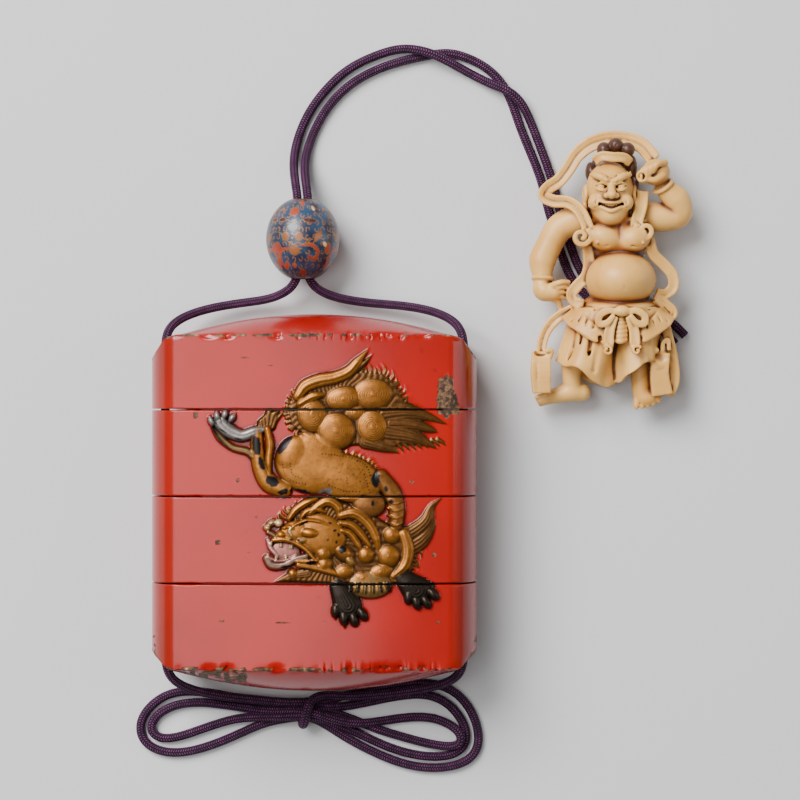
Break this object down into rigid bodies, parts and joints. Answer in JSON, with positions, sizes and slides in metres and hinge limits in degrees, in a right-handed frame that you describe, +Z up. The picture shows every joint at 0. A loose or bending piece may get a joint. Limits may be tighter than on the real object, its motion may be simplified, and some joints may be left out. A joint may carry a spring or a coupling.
{
  "type": "inro case",
  "caption": "Flat rounded tiered case of red lacquer with a lion in relief, closed by a silk cord with a sliding bead and a carved figure toggle.",
  "frame": {"origin": "middle of the case's footprint as it lies on its back, on the surface it lies on", "axes": "+X across the case, +Y from its foot to its lid, +Z up from the surface, out of its decorated front"},
  "size_m": [0.1188, 0.1561, 0.0269],
  "materials": {
    "lacquer": "glossy red lacquer over wood, gold relief, worn edges",
    "enamel": "blue cloisonne enamel with gold wires, semi-gloss",
    "ivory": "polished ivory with brown stain in the recesses",
    "silk": "braided plum silk"
  },
  "bodies": {
    "root": {"lid": "lacquer", "case_upper": "lacquer", "case_middle": "lacquer", "case_lower": "lacquer", "ojime": "enamel", "netsuke": "ivory", "cord_left": "silk", "cord_right": "silk", "cord_wrap_left": "silk", "cord_wrap_right": "silk", "cord_bow": "silk"}
  },
  "joints": []
}
